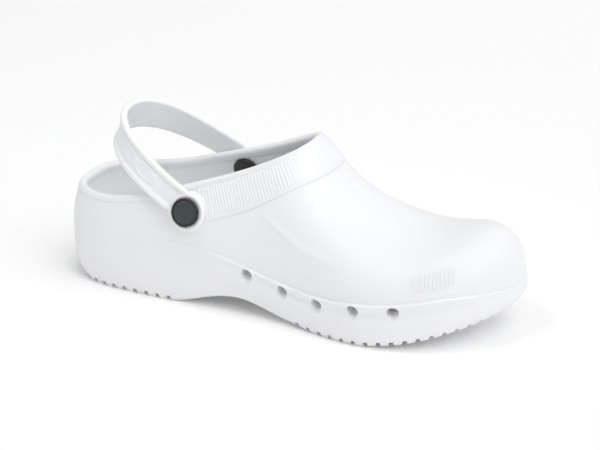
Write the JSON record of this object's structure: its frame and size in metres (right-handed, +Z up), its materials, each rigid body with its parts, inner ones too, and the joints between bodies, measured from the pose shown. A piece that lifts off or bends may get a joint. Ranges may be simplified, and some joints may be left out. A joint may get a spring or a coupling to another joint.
{
  "type": "chef clog",
  "caption": "White moulded foam work clog for a right foot, closed toe, open heel collar and a heel strap on black rivets.",
  "frame": {"origin": "under the middle of the clog's outer box, on the floor that it stands on", "axes": "+X from the heel to the toe, +Y towards the inner side of the foot, +Z up"},
  "size_m": [0.288, 0.108, 0.1103],
  "materials": {
    "white_foam": "satin",
    "insole_foam": "matte",
    "black_plastic": "semi-gloss",
    "badge_print": "semi-gloss"
  },
  "bodies": {
    "root": {"moulded_body": "white_foam", "insole": "insole_foam", "heel_strap": "white_foam", "rivet_post_lateral": "black_plastic", "rivet_badge_lateral": "badge_print", "rivet_button_lateral": "black_plastic", "rivet_post_medial": "black_plastic", "rivet_badge_medial": "badge_print", "rivet_button_medial": "black_plastic"}
  },
  "joints": []
}
